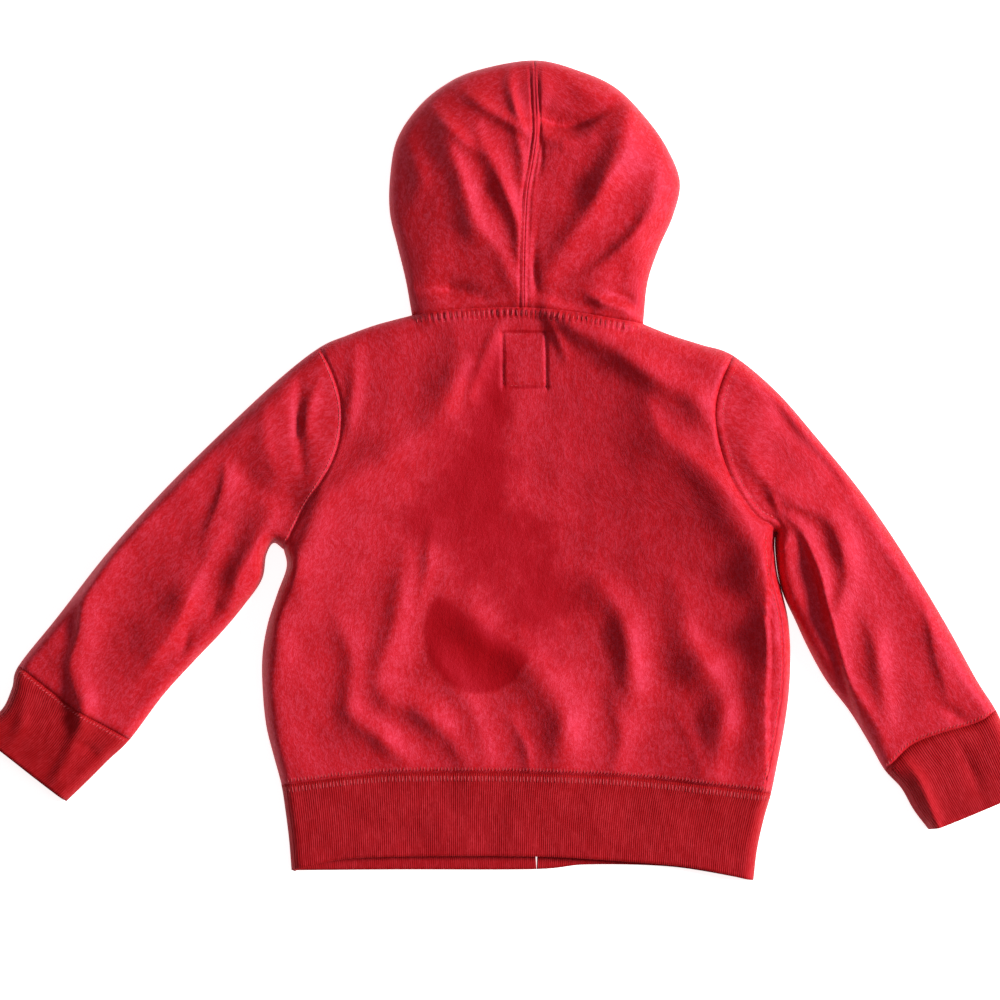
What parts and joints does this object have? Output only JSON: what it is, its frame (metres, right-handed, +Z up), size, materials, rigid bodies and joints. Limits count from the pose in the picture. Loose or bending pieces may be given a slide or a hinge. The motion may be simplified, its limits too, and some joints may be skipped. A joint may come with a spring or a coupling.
{
  "type": "kids zip hoodie",
  "caption": "Child's fleece hoodie with a front zip, hood, rib cuffs and rib hem band, laid flat face down with its hood spread.",
  "frame": {"origin": "on the surface that the hoodie lies on, under the middle of its outline", "axes": "+X across the garment towards the wearer's right sleeve, +Y from the hem to the hood, +Z up from the surface"},
  "size_m": [0.677, 0.5247, 0.0305],
  "materials": {
    "fleece": "matte",
    "rib": "matte",
    "zip_tape": "matte",
    "zip_teeth": "matte",
    "zip_metal": "satin"
  },
  "bodies": {
    "garment": {"back": "fleece", "front_left": "fleece", "front_right": "fleece", "sleeve_left": "fleece", "sleeve_right": "fleece", "cuff_left": "rib", "cuff_right": "rib", "hem_band": "rib", "hood_left": "fleece", "hood_right": "fleece", "zip_tape_left": "zip_tape", "zip_tape_right": "zip_tape", "zip_chain": "zip_teeth", "zip_slider": "zip_metal"},
    "pull": {"zip_pull": "zip_metal"}
  },
  "joints": [
    {"name": "pull_hinge", "type": "hinge", "parent": "garment", "child": "pull", "pos_m": [0.01863, 0.0435, 0.0015], "axis": [1, 0, 0], "range_deg": [0, 150]}
  ]
}
